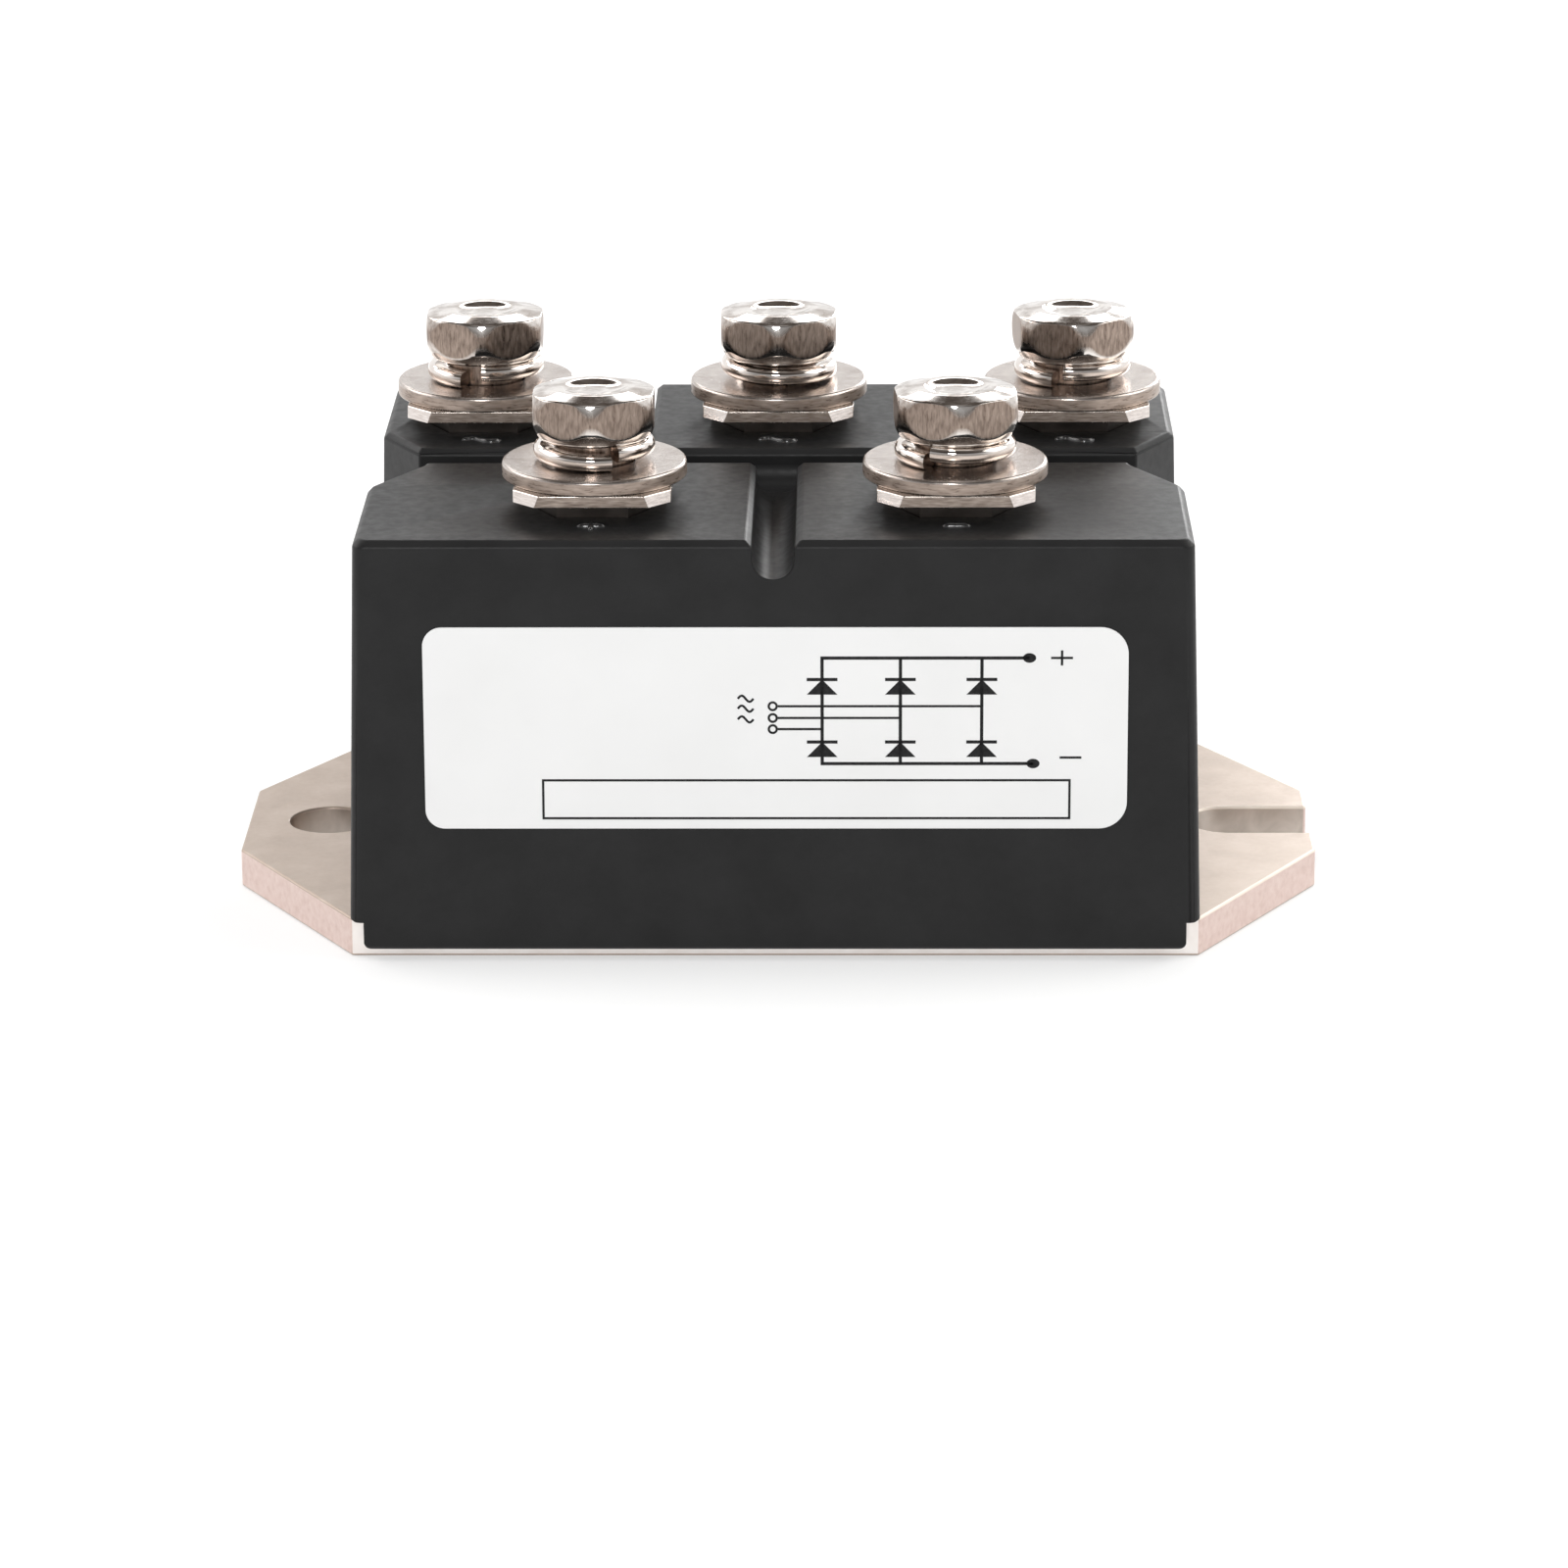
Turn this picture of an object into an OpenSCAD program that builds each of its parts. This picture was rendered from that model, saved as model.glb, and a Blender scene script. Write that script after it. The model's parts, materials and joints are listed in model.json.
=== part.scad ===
// Three-phase bridge rectifier module with five screw terminals.
// Millimetres. The origin is the centre of the base plate's lower face.
// X runs along the module, Y runs from the labelled front face to the back, Z points up.

/* [Base plate] */
// Length of the plate between its two tips
plate_l = 72; // [70:0.5:84]
// Thickness of the plate
plate_t = 2.6; // [2:0.1:4]
// Length of the straight edge at each tip
tip_w = 12.6; // [10:0.2:18]
// Distance from each tip to the axis of its hole or slot end
hole_margin = 5.5; // [4:0.1:7]
// Diameter of the hole and width of the slot
hole_d = 5.5; // [4.5:0.1:6.5]

/* [Housing] */
// Height of the terminal pads above the plate's lower face
pad_z = 28; // [26:0.5:34]
// Draft angle of the outer walls
draft = 1.6; // [0.5:0.1:3]
// Thickness of the walls at the top
wall = 2; // [1.5:0.1:3]
// Distance from an outer terminal to the side edge of its pad
pad_side = 6.8; // [6:0.1:9]
// Rounding of the upright corners
corner_r = 0.8; // [0.4:0.1:1.4]
// Bevel along the upper edges
edge_bevel = 0.4; // [0.2:0.1:0.8]
// Thickness of the skirts that lap over the long edges of the plate
skirt_t = 0.9; // [0.6:0.1:1.4]
// Height of the skirts' lower edge above the plate's lower face
skirt_lift = 0.7; // [0.3:0.1:1.4]
// Setback of the skirts from the housing's corners
skirt_inset = 0.9; // [0.4:0.1:2]
// Clearance between the skirts and the plate
plate_fit = 0.1; // [0.05:0.05:0.3]

/* [Creepage grooves] */
// Width of the grooves that run out to the front and to the back
groove_w = 2.7; // [2:0.1:4]
// Width of the groove across the housing
cross_w = 3; // [2:0.1:4]
// Distance of the cross groove behind the middle
cross_y = 0.8; // [0:0.1:1.5]
// Depth of the grooves
groove_depth = 2.5; // [2.2:0.1:4]
// Thickness of the roof below the grooves
roof_web = 2; // [1.5:0.1:4]

/* [Screw recesses] */
// Distance from a mounting hole's axis to the floor of its recess
screw_room = 6.9; // [6:0.1:8]
// Width of a recess at its floor
recess_floor = 3; // [2:0.1:5]
// Angle between a slanted side of a recess and the length of the module
recess_angle = 60; // [45:1:65]

/* [Terminals] */
// Distance between neighbouring rear terminals
rear_pitch = 20; // [18:0.5:24]
// Distance between the two front terminals
front_pitch = 23.4; // [20:0.2:27]
// Distance between the rear row and the front row
row_pitch = 21.6; // [19:0.2:26]
// Width of a terminal's tab
tab_w = 10.2; // [8:0.2:12]
// Thickness of the terminal strips
strip_t = 0.8; // [0.6:0.1:1.2]
// Reach of the tab in front of its screw
tab_front = 5.8; // [5:0.1:7]
// Length of the cut at the tab's front corners
tab_cut = 1.4; // [0.8:0.1:3]
// Radial clearance of the screw in the tab's hole
tab_fit = 0.3; // [0.1:0.05:0.6]
// Distance from the washer's rim to the back of the bend
bend_room = 0.6; // [0.3:0.1:1.5]
// Inner radius of the bend
bend_r = 0.4; // [0.2:0.1:0.8]
// Width of the strip below the tab
neck_w = 7; // [5:0.2:8.6]
// Clearance of the strip in its slot
slot_fit = 0.15; // [0.1:0.05:0.4]
// Height of the strips' step above the plate's lower face
step_z = 12; // [11:0.2:14]
// Width of the soldered foot
foot_w = 5; // [3:0.2:6]
// Length of the soldered foot
foot_l = 4; // [2.5:0.1:5]

/* [Screws, washers and nuts] */
// Diameter of the screws
screw_d = 5; // [4:0.1:5.5]
// Length of the screws below the head
screw_l = 10; // [8:0.5:12]
// Width across the flats of the screw heads and nuts
hex_af = 8; // [7:0.1:9]
// Height of the screw heads
head_h = 3.2; // [2.6:0.1:4.5]
// Height of the bevel around the top of a screw head
head_bevel = 0.25; // [0.1:0.05:0.5]
// Distance from the flats of a screw head to its round top face
top_inset = 1.3; // [0.6:0.1:1.6]
// Height of the rounded corners of a screw head over its flats
corner_rise = 0.35; // [0.2:0.05:0.5]
// Radius to which the corners of a screw head are rounded from top to bottom
corner_round = 2.9; // [2.6:0.1:4]
// Height of the widest part of those corners above the middle of the head
corner_shift = 0.2; // [0:0.05:0.4]
// Height of the bevel on the corners of a nut
nut_bevel = 0.4; // [0.2:0.1:0.8]
// Width of the margin between the flats of a nut and its round end faces
nut_margin = 0.12; // [0.05:0.01:0.3]
// Bevel at the tip of a screw
tip_bevel = 0.6; // [0.3:0.1:0.9]
// Diameter of the dish in a screw head
dish_d = 4; // [2:0.1:4.6]
// Depth of the dish
dish_depth = 0.4; // [0.2:0.1:1]
// Thickness of the nuts
nut_h = 4; // [3:0.1:5]
// Height of the nuts above the pads
nut_proud = 1.1; // [0.2:0.1:1.2]
// Clearance of the nuts in their pockets
nut_fit = 0.1; // [0.05:0.05:0.3]
// Radial clearance between screw and nut
thread_fit = 0.05; // [0.02:0.01:0.1]
// Outer diameter of the flat washers
washer_od = 12; // [10:0.2:14]
// Thickness of the flat washers
washer_t = 1; // [0.6:0.1:1.6]
// Bevel on the outer edges of both kinds of washer
washer_bevel = 0.2; // [0.1:0.05:0.4]
// Radial clearance of the screw in the washers
washer_fit = 0.2; // [0.1:0.05:0.5]
// Outer diameter of the spring washers
spring_od = 8.4; // [7.6:0.1:9.6]
// Thickness of the spring washers
spring_t = 1.2; // [0.8:0.1:1.8]
// Rise of a spring washer from end to end
spring_rise = 0.4; // [0.2:0.1:1]
// Angle of the gap in a spring washer
spring_gap = 16; // [6:1:30]
// Room below a screw in its well
well_room = 1; // [0.5:0.1:2]
// Radial clearance of a screw in its well
well_fit = 0.7; // [0.3:0.1:1]
// Thickness of plastic around and below a well
boss_wall = 1.5; // [1:0.1:2]

/* [Diode stack] */
// Thickness of the copper on either side of the ceramic
copper_t = 0.3; // [0.2:0.05:0.5]
// Thickness of the ceramic
ceramic_t = 0.65; // [0.3:0.05:1]
// Gap between the ceramic and the housing
ceramic_gap = 0.5; // [0.3:0.1:1]
// Bare rim of the ceramic around the copper
track_rim = 0.6; // [0.4:0.1:1.2]
// Gap between neighbouring tracks
track_gap = 0.8; // [0.5:0.1:1.2]
// Side of the square diode chips
chip_w = 5.6; // [4.5:0.1:6]
// Thickness of the chips
chip_t = 0.35; // [0.2:0.05:0.6]
// Width of the connecting clips
clip_w = 4; // [3:0.1:4.4]
// Thickness of the clips
clip_t = 0.5; // [0.3:0.05:0.8]
// Height of a clip's arch above the chips
clip_rise = 2.2; // [1.5:0.1:3]
// Length of a clip's soldered end
clip_land = 2.4; // [1.8:0.1:3]
// Distance between the front risers and the clips that land behind them
riser_gap = 1.4; // [1:0.1:2]
// Depth of the gel over the plate
gel_depth = 7.4; // [6.5:0.1:8.2]

/* [Label] */
// Width of the label
label_w = 45.3; // [30:0.1:50]
// Height of the label
label_h = 13.6; // [8:0.1:18]
// Rounding of the label's corners
label_r = 1.25; // [0.5:0.05:3]
// Thickness of the label
label_t = 0.15; // [0.1:0.05:0.3]
// Distance from the pads' level down to the label's upper edge
label_drop = 5.6; // [4:0.1:8]

/* [Hidden] */
$fn = 64;
PHASES = [1, 2, 3];

// Allowance by which a cutting shape passes the surface that it cuts
over = 1;

// Heights of the screw stack
tab_z = pad_z + nut_proud;
washer_z = tab_z + strip_t;
spring_z = washer_z + washer_t;
head_z = spring_z + spring_t + spring_rise;
screw_end_z = head_z - screw_l;
nut_z = tab_z - nut_h;
well_z = screw_end_z - well_room;
boss_z = well_z - boss_wall;
roof_z = pad_z - groove_depth - roof_web;

// Terminal places: the rear row holds the phases from left to right, the front row holds plus and minus
rear_y = row_pitch / 2;
front_y = -row_pitch / 2;
PLUS_AT = [-front_pitch / 2, front_y];
MINUS_AT = [front_pitch / 2, front_y];
function phase_at(k) = [(k - 2) * rear_pitch, rear_y];
SCREWS_AT = concat([for (k = PHASES) phase_at(k)], [PLUS_AT, MINUS_AT]);
// Turn of each head, and of the gap in each spring washer, from the front
HEAD_TURN = [0, 0, 5, 0, 5];
GAP_TURN = [-12, 180, -17, 23, -29];

// The bend starts, and the riser's back face lies, this far behind the screw
tab_back = washer_od / 2 + bend_room;
bend_y = tab_back - strip_t - bend_r;

// Housing outline at the top and where it meets the plate
top_w = 2 * (rear_pitch + pad_side);
top_d = row_pitch + 2 * (tab_back + track_rim + ceramic_gap + wall);
draft_run = (pad_z - plate_t) * tan(draft);
body_w = top_w + 2 * draft_run;
body_d = top_d + 2 * draft_run;
plate_d = body_d - 2 * (skirt_t + plate_fit);
hole_x = plate_l / 2 - hole_margin;
recess_x = hole_x - screw_room;

// Inner outline: the walls keep their thickness along the slanted sides of the recesses
cavity_w = top_w - 2 * wall;
cavity_d = top_d - 2 * wall;
inner_recess_x = recess_x - wall;
inner_recess_floor = recess_floor + 2 * wall * (1 - sin(recess_angle)) / cos(recess_angle);

// Heights of the diode stack
ceramic_z = plate_t + copper_t;
track_z = ceramic_z + ceramic_t;
chip_z = track_z + copper_t;
clip_z = chip_z + chip_t;
arch_z = clip_z + clip_rise;

// Ceramic and tracks from left to right
ceramic_w = 2 * (min(inner_recess_x, cavity_w / 2) - ceramic_gap);
ceramic_d = cavity_d - 2 * ceramic_gap;
tracks_w = ceramic_w - 2 * track_rim;
tracks_d = ceramic_d - 2 * track_rim;
phase_w = (tracks_w - 2 * track_gap) / 3;
function phase_x(k) = (k - 2) * (phase_w + track_gap);

// Tracks from the front to the back, placed by the front risers
front_riser = front_y + tab_back;
minus_front = front_riser - foot_l - track_rim;
minus_land = front_riser + riser_gap;
minus_back = minus_land + clip_land + track_rim;
plus_back = minus_front - track_gap;
phase_front = minus_back + track_gap;

// Diodes: each phase has its lower diode on one half of its track, and the upper diode's clip on the other
LOWER_SIDE = [1, 1, -1];
function lower_x(k) = phase_x(k) + LOWER_SIDE[k - 1] * phase_w / 4;
function upper_x(k) = phase_x(k) - LOWER_SIDE[k - 1] * phase_w / 4;
upper_y = (plus_back - tracks_d / 2) / 2;
lower_y = phase_front + track_rim + chip_w / 2;
phase_land = phase_front + track_rim;

// Feet: the outer phases step inwards to their tracks, plus steps forwards between two diodes
function phase_foot_x(k) = phase_x(k) + (k - 2) * (phase_w - foot_w) / 2;
plus_foot_x = (upper_x(1) + upper_x(2)) / 2;
plus_riser = plus_back - track_rim;

function unit(v) = v / norm(v);

// Sideways vector at a point of a path, lengthened at corners so that a strip keeps its thickness
function mitre(path, i) =
    let (
        last = len(path) - 1,
        before = unit(path[max(i, 1)] - path[max(i, 1) - 1]),
        after = unit(path[min(i + 1, last)] - path[min(i, last - 1)]),
        n1 = [-before[1], before[0]],
        n2 = [-after[1], after[0]]
    )
    (n1 + n2) / (1 + n1 * n2);

// Outline of a strip of thickness t along a path
function strip_outline(path, t) = concat(
    [for (i = [0:len(path) - 1]) path[i] + mitre(path, i) * t / 2],
    [for (i = [len(path) - 1:-1:0]) path[i] - mitre(path, i) * t / 2]
);

// Bent metal strip: a path in the YZ plane, w wide along X and t thick
module strip(path, w, t) {
    rotate([90, 0, 90])
        linear_extrude(height = w, center = true)
            polygon(strip_outline(path, t));
}

// Box given by its two opposite corners
module block(low, high) {
    translate(low)
        cube(high - low);
}

// Rectangle with a recess in both short sides: a wedge that opens outwards from floor_x,
// where it is floor_w wide
module recessed(w, d, floor_x, floor_w) {
    run = w;
    mouth = floor_w / 2 + run * tan(recess_angle);
    difference() {
        square([w, d], center = true);
        for (side = [-1, 1])
            scale([side, 1])
                polygon([
                    [floor_x, -floor_w / 2], [floor_x + run, -mouth],
                    [floor_x + run, mouth], [floor_x, floor_w / 2]
                ]);
    }
}

module top_outline() {
    offset(r = corner_r, $fn = 32)
        offset(delta = -corner_r)
            recessed(top_w, top_d, recess_x, recess_floor);
}

// Solid housing with drafted walls and a bevelled upper edge
module drafted_body() {
    bevel_run = edge_bevel * tan(draft);
    bevel_w = top_w + 2 * bevel_run;
    bevel_d = top_d + 2 * bevel_run;
    translate([0, 0, pad_z - edge_bevel])
        mirror([0, 0, 1])
            linear_extrude(
                height = pad_z - edge_bevel - plate_t,
                scale = [body_w / bevel_w, body_d / bevel_d],
                slices = 1,
                segments = 1
            )
                scale([bevel_w / top_w, bevel_d / top_d])
                    top_outline();
    translate([0, 0, pad_z - edge_bevel])
        linear_extrude(
            height = edge_bevel,
            scale = [1 - 2 * edge_bevel / bevel_w, 1 - 2 * edge_bevel / bevel_d],
            slices = 1,
            segments = 1
        )
            scale([bevel_w / top_w, bevel_d / top_d])
                top_outline();
}

module skirts() {
    half_w = body_w / 2 - skirt_inset;
    for (side = [-1, 1])
        translate([0, side * (body_d - skirt_t) / 2, (skirt_lift + plate_t) / 2])
            cube([2 * half_w, skirt_t, plate_t - skirt_lift], center = true);
}

module cavity_outline() {
    recessed(cavity_w, cavity_d, inner_recess_x, inner_recess_floor);
}

// Hollow of the housing: the bosses around the nuts hang into it from the roof
module hollow() {
    boss_d = (hex_af / 2 + nut_fit) / cos(30) * 2 + 2 * boss_wall;
    difference() {
        translate([0, 0, plate_t - over])
            linear_extrude(height = roof_z - plate_t + over)
                cavity_outline();
        for (at = SCREWS_AT)
            translate([at[0], at[1], boss_z])
                cylinder(d = boss_d, h = roof_z - boss_z + over);
    }
}

// Groove of width w that runs from y = 0 to y = reach, with a round bottom and bevelled edges
module groove(w, reach) {
    flare = edge_bevel + over;
    rotate([90, 0, 180])
        linear_extrude(height = reach) {
            translate([0, w / 2 - groove_depth])
                circle(d = w);
            translate([-w / 2, w / 2 - groove_depth])
                square([w, groove_depth - w / 2 + over]);
            polygon([
                [-w / 2, -edge_bevel], [w / 2, -edge_bevel],
                [w / 2 + flare, over], [-w / 2 - flare, over]
            ]);
        }
}

module grooves() {
    reach = body_d / 2 + over;
    translate([-body_w / 2, cross_y, pad_z])
        rotate([0, 0, -90])
            groove(cross_w, body_w);
    translate([0, cross_y, pad_z])
        rotate([0, 0, 180])
            groove(groove_w, reach + cross_y);
    for (side = [-1, 1])
        translate([side * rear_pitch / 2, cross_y, pad_z])
            groove(groove_w, reach - cross_y);
}

// Nut pocket, screw well and strip slot of one terminal
module terminal_seat() {
    translate([0, 0, nut_z])
        cylinder(d = (hex_af + 2 * nut_fit) / cos(30), h = pad_z - nut_z + over, $fn = 6);
    translate([0, 0, well_z])
        cylinder(d = screw_d + 2 * well_fit, h = pad_z - well_z);
    slot_x = neck_w / 2 + slot_fit;
    block(
        [-slot_x, tab_back - strip_t - slot_fit, boss_z - over],
        [slot_x, tab_back + slot_fit, pad_z + over]
    );
}

module housing() {
    color("#2c2c2e")
        difference() {
            union() {
                drafted_body();
                skirts();
            }
            hollow();
            grooves();
            for (at = SCREWS_AT)
                translate([at[0], at[1], 0])
                    terminal_seat();
        }
}

module base_plate() {
    tip = plate_l / 2;
    color("#c8bbae")
        difference() {
            linear_extrude(height = plate_t)
                polygon([
                    [-tip, -tip_w / 2], [-body_w / 2, -plate_d / 2],
                    [body_w / 2, -plate_d / 2], [tip, -tip_w / 2],
                    [tip, tip_w / 2], [body_w / 2, plate_d / 2],
                    [-body_w / 2, plate_d / 2], [-tip, tip_w / 2]
                ]);
            translate([-hole_x, 0, -over])
                cylinder(d = hole_d, h = plate_t + 2 * over);
            translate([hole_x, 0, -over])
                cylinder(d = hole_d, h = plate_t + 2 * over);
            block([hole_x, -hole_d / 2, -over], [tip + over, hole_d / 2, plate_t + over]);
        }
}

// Film on the front face, which leans back by the draft angle
module label() {
    mid_drop = label_drop + label_h / 2;
    color("white")
        translate([0, -top_d / 2 - mid_drop * tan(draft), pad_z - mid_drop])
            rotate([90 - draft, 0, 0])
                linear_extrude(height = label_t) {
                    square([label_w - 2 * label_r, label_h], center = true);
                    square([label_w, label_h - 2 * label_r], center = true);
                    for (x = [-1, 1], y = [-1, 1])
                        translate([x * (label_w / 2 - label_r), y * (label_h / 2 - label_r)])
                            circle(r = label_r);
                }
}

module substrate_backing() {
    color("#b87333")
        block([-tracks_w / 2, -tracks_d / 2, plate_t], [tracks_w / 2, tracks_d / 2, ceramic_z]);
}

module ceramic_substrate() {
    color("#f0efe8")
        block([-ceramic_w / 2, -ceramic_d / 2, ceramic_z], [ceramic_w / 2, ceramic_d / 2, track_z]);
}

module track(x0, x1, y0, y1) {
    color("#b87333")
        block([x0, y0, track_z], [x1, y1, chip_z]);
}

module plus_track() {
    track(-tracks_w / 2, tracks_w / 2, -tracks_d / 2, plus_back);
}

module minus_track() {
    track(-tracks_w / 2, tracks_w / 2, minus_front, minus_back);
}

module phase_track(k) {
    track(phase_x(k) - phase_w / 2, phase_x(k) + phase_w / 2, phase_front, tracks_d / 2);
}

module diode(x, y) {
    color("#55585c")
        translate([x - chip_w / 2, y - chip_w / 2, chip_z])
            cube([chip_w, chip_w, chip_t]);
}

// Arched clip from the top of a chip at chip_y to a track, where it lies from land_y towards land_dir
module clip(x, chip_y, land_y, land_dir) {
    low = chip_z + clip_t / 2;
    high = clip_z + clip_t / 2;
    arch = arch_z + clip_t / 2;
    lean = clip_rise / 2;
    land_end = land_y + land_dir * clip_land;
    path = [
        [chip_y - land_dir * clip_land / 2, high],
        [chip_y + land_dir * clip_land / 2, high],
        [chip_y + land_dir * (clip_land / 2 + lean), arch],
        [land_y - land_dir * lean, arch],
        [land_y, low],
        [land_end, low]
    ];
    color("#c98a50")
        translate([x, 0, 0])
            strip(path, clip_w, clip_t);
}

module upper_clip(k) {
    clip(upper_x(k), upper_y, phase_land, 1);
}

module lower_clip(k) {
    clip(lower_x(k), lower_y, minus_land + clip_land, -1);
}

// Quarter turn of a terminal strip from level to upright, about the X axis
module quarter_bend() {
    rotate([90, 0, 90])
        translate([0, 0, -neck_w / 2])
            rotate_extrude(angle = 90)
                translate([bend_r, 0])
                    square([strip_t, neck_w]);
}

// Level tab with cut front corners and a screw hole, around the screw's axis
module tab() {
    side = tab_w / 2;
    difference() {
        linear_extrude(height = strip_t)
            polygon([
                [tab_cut - side, -tab_front], [side - tab_cut, -tab_front], [side, tab_cut - tab_front],
                [side, bend_y], [-side, bend_y], [-side, tab_cut - tab_front]
            ]);
        translate([0, 0, -over])
            cylinder(d = screw_d + 2 * tab_fit, h = strip_t + 2 * over);
    }
}

// Tab that is bent down into a riser, which steps to a soldered foot at foot_x in front of riser_y
module terminal(at, foot_x, riser_y) {
    mid = strip_t / 2;
    back = at[1] + tab_back;
    // A riser that has to move forwards starts its lower part with a level step
    lower_path = [
        [riser_y - mid, step_z + (back > riser_y ? mid : strip_t)],
        [riser_y - mid, chip_z + mid],
        [riser_y - foot_l, chip_z + mid]
    ];
    step_path = [[back, step_z + mid]];
    color("#c2b3a5") {
        translate([at[0], at[1], tab_z])
            tab();
        translate([at[0], at[1] + bend_y, tab_z - bend_r])
            quarter_bend();
        translate([at[0], 0, 0])
            block([-neck_w / 2, back - strip_t, step_z], [neck_w / 2, back, tab_z - bend_r]);
        translate([foot_x, 0, 0])
            strip(back > riser_y ? concat(step_path, lower_path) : lower_path, foot_w, strip_t);
    }
}

module phase_terminal(k) {
    terminal(phase_at(k), phase_foot_x(k), rear_y + tab_back);
}

module plus_terminal() {
    terminal(PLUS_AT, plus_foot_x, plus_riser);
}

module minus_terminal() {
    terminal(MINUS_AT, MINUS_AT[0], front_riser);
}

// Soft filling that covers the plate, the chips and the clips
module silicone_gel() {
    color("#dfe6ea", 0.5)
        difference() {
            translate([0, 0, plate_t])
                linear_extrude(height = gel_depth)
                    cavity_outline();
            substrate_backing();
            ceramic_substrate();
            plus_track();
            minus_track();
            for (k = PHASES) {
                phase_track(k);
                diode(upper_x(k), upper_y);
                diode(lower_x(k), lower_y);
                upper_clip(k);
                lower_clip(k);
                phase_terminal(k);
            }
            plus_terminal();
            minus_terminal();
        }
}

// Copies its child to every screw
module at_screws() {
    for (at = SCREWS_AT)
        translate([at[0], at[1], 0])
            children();
}

// Hexagon prism around the Z axis, with a corner on the X axis
module hexagon(h) {
    cylinder(d = hex_af / cos(30), h = h, $fn = 6);
}

// Nut whose corners are cut off by a cone at both ends
module nut() {
    corner = hex_af / cos(30) / 2;
    cut_r = hex_af / 2 - nut_margin;
    difference() {
        intersection() {
            hexagon(nut_h);
            rotate_extrude()
                polygon([
                    [0, 0], [cut_r, 0], [corner, nut_bevel],
                    [corner, nut_h - nut_bevel], [cut_r, nut_h], [0, nut_h]
                ]);
        }
        translate([0, 0, -over])
            cylinder(d = screw_d + 2 * thread_fit, h = nut_h + 2 * over);
    }
}

module terminal_nuts() {
    color("#b5a79a")
        at_screws()
            translate([0, 0, nut_z])
                nut();
}

module flat_washers() {
    bore = screw_d / 2 + washer_fit;
    rim = washer_od / 2;
    color("#c2b3a5")
        at_screws()
            translate([0, 0, washer_z])
                rotate_extrude()
                    polygon([
                        [bore, 0], [rim, 0], [rim, washer_t - washer_bevel],
                        [rim - washer_bevel, washer_t], [bore, washer_t]
                    ]);
}

// Split ring that falls by spring_rise on its way round, with its gap towards the front
module spring_ring() {
    steps = 40;
    bore = screw_d / 2 + washer_fit;
    rim = spring_od / 2;
    flat = rim - washer_bevel;
    section = [
        [bore, 0], [flat, 0], [rim, washer_bevel],
        [rim, spring_t - washer_bevel], [flat, spring_t], [bore, spring_t]
    ];
    n = len(section);
    start = spring_gap / 2 - 90;
    points = [
        for (i = [0:steps], p = section)
            let (a = start + (360 - spring_gap) * i / steps)
            [p[0] * cos(a), p[0] * sin(a), p[1] + spring_rise * (1 - i / steps)]
    ];
    sides = [
        for (i = [0:steps - 1], j = [0:n - 1])
            let (a = i * n + j, b = i * n + (j + 1) % n)
            each [[a, a + n, b], [b, a + n, b + n]]
    ];
    ends = [
        [for (j = [0:n - 1]) j],
        [for (j = [n - 1:-1:0]) steps * n + j]
    ];
    polyhedron(points, concat(sides, ends), convexity = 4);
}

module spring_washers() {
    color("#b8aa9d")
        for (i = [0:len(SCREWS_AT) - 1])
            translate([SCREWS_AT[i][0], SCREWS_AT[i][1], spring_z])
                rotate([0, 0, GAP_TURN[i]])
                    spring_ring();
}

// Hexagon head with corners that are rounded both ways and a shallow bevel around its top
module head() {
    flat_r = hex_af / 2;
    crown_r = flat_r + corner_rise;
    slope = head_bevel / top_inset;
    intersection() {
        rotate([0, 0, 30])
            hexagon(head_h);
        rotate_extrude()
            intersection() {
                translate([crown_r - corner_round, head_h / 2 + corner_shift])
                    circle(r = corner_round);
                polygon([
                    [0, 0], [crown_r, 0], [crown_r, head_h - slope * (top_inset + corner_rise)],
                    [flat_r - top_inset, head_h], [0, head_h]
                ]);
            }
    }
}

// Screw with a dished head, one corner of which points to the front
module screw() {
    shank_r = screw_d / 2;
    difference() {
        head();
        translate([0, 0, head_h - dish_depth])
            cylinder(d1 = dish_d - 2 * dish_depth, d2 = dish_d + 2 * over, h = dish_depth + over);
    }
    rotate_extrude()
        polygon([
            [0, -screw_l], [shank_r - tip_bevel, -screw_l], [shank_r, tip_bevel - screw_l],
            [shank_r, 0], [0, 0]
        ]);
}

module terminal_screws() {
    color("#c9bbae")
        for (i = [0:len(SCREWS_AT) - 1])
            translate([SCREWS_AT[i][0], SCREWS_AT[i][1], head_z])
                rotate([0, 0, HEAD_TURN[i]])
                    screw();
}

housing();
base_plate();
label();
substrate_backing();
ceramic_substrate();
plus_track();
minus_track();
for (k = PHASES) {
    phase_track(k);
    diode(upper_x(k), upper_y);
    diode(lower_x(k), lower_y);
    upper_clip(k);
    lower_clip(k);
    phase_terminal(k);
}
plus_terminal();
minus_terminal();
silicone_gel();
terminal_nuts();
flat_washers();
spring_washers();
terminal_screws();
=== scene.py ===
"""Looks of the three-phase bridge rectifier module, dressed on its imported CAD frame."""
import json
import math

import bmesh
import bpy
from mathutils import Matrix, Vector


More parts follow.
